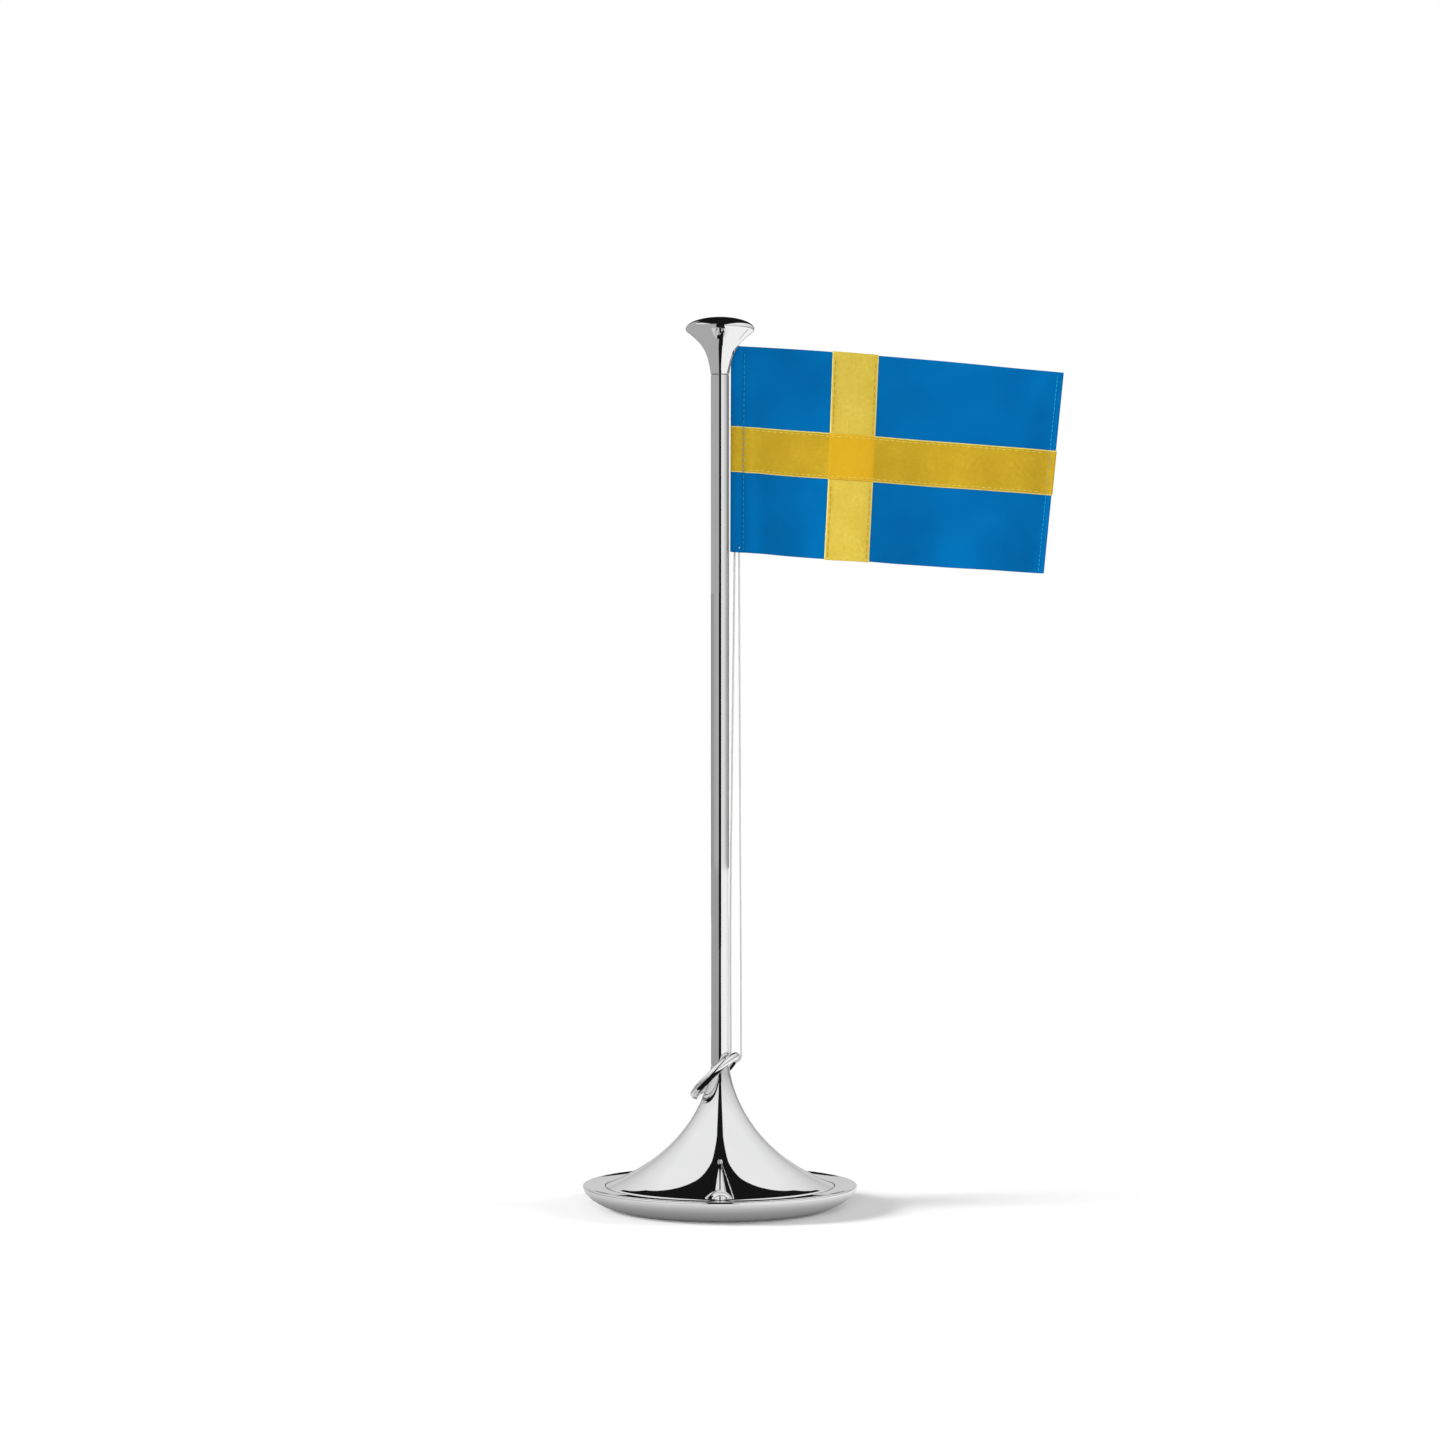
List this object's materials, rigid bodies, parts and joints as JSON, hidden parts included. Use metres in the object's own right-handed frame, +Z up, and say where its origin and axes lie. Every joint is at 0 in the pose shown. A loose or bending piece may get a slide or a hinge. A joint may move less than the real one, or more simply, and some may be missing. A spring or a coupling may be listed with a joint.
{
  "type": "desk flag stand",
  "caption": "Mirror-steel table flag pole with a weighted trumpet base, flared finial, endless halyard with a tension ring, and a small blue flag with a yellow cross.",
  "frame": {"origin": "centre of the felt underside, on the surface the stand rests on, under the pole's axis", "axes": "+Z up the pole, +X towards the fly of the flag at rest, -Y towards the viewer who sees the flag's front"},
  "size_m": [0.2106, 0.12, 0.39],
  "materials": {
    "mirror_steel": "mirror-polished stainless steel",
    "plain_steel": "turned, zinc plated",
    "iron": "as cast",
    "felt": "pressed felt",
    "cord": "braided thin cord",
    "blue_cloth": "fine plain-weave flag cloth",
    "yellow_ribbon": "satin ribbon"
  },
  "bodies": {
    "stand": {"base_trumpet": "mirror_steel", "base_dish": "mirror_steel", "ballast_weight": "iron", "felt_pad": "felt", "flat_washer": "plain_steel", "spring_washer": "plain_steel", "clamp_nut": "plain_steel", "tie_rod": "plain_steel", "pole_tube": "mirror_steel", "pole_foot_plug": "plain_steel", "pole_head_plug": "plain_steel", "finial_stud": "plain_steel", "finial": "mirror_steel", "halyard": "cord"},
    "ring": {"tension_ring": "mirror_steel"},
    "flag_carrier": {"upper_stop_knot": "cord", "lower_stop_knot": "cord"},
    "flag": {"flag_field": "blue_cloth", "ribbon_vertical_front": "yellow_ribbon", "ribbon_vertical_back": "yellow_ribbon", "ribbon_horizontal_front": "yellow_ribbon", "ribbon_horizontal_back": "yellow_ribbon"}
  },
  "joints": [
    {"name": "ring_tilt", "type": "hinge", "parent": "stand", "child": "ring", "pos_m": [0.007, 0, 0.0663], "axis": [0.1313, 0.9816, -0.1384], "range_deg": [0, 95]},
    {"name": "flag_hoist", "type": "slide", "parent": "stand", "child": "flag_carrier", "axis": [-0.0042, 0, 1], "range_m": [-0.21, 0]},
    {"name": "flag_swing", "type": "hinge", "parent": "flag_carrier", "child": "flag", "pos_m": [0.0082, 0, 0.33], "axis": [-0.0042, 0, 1], "range_deg": [-90, 75]}
  ]
}
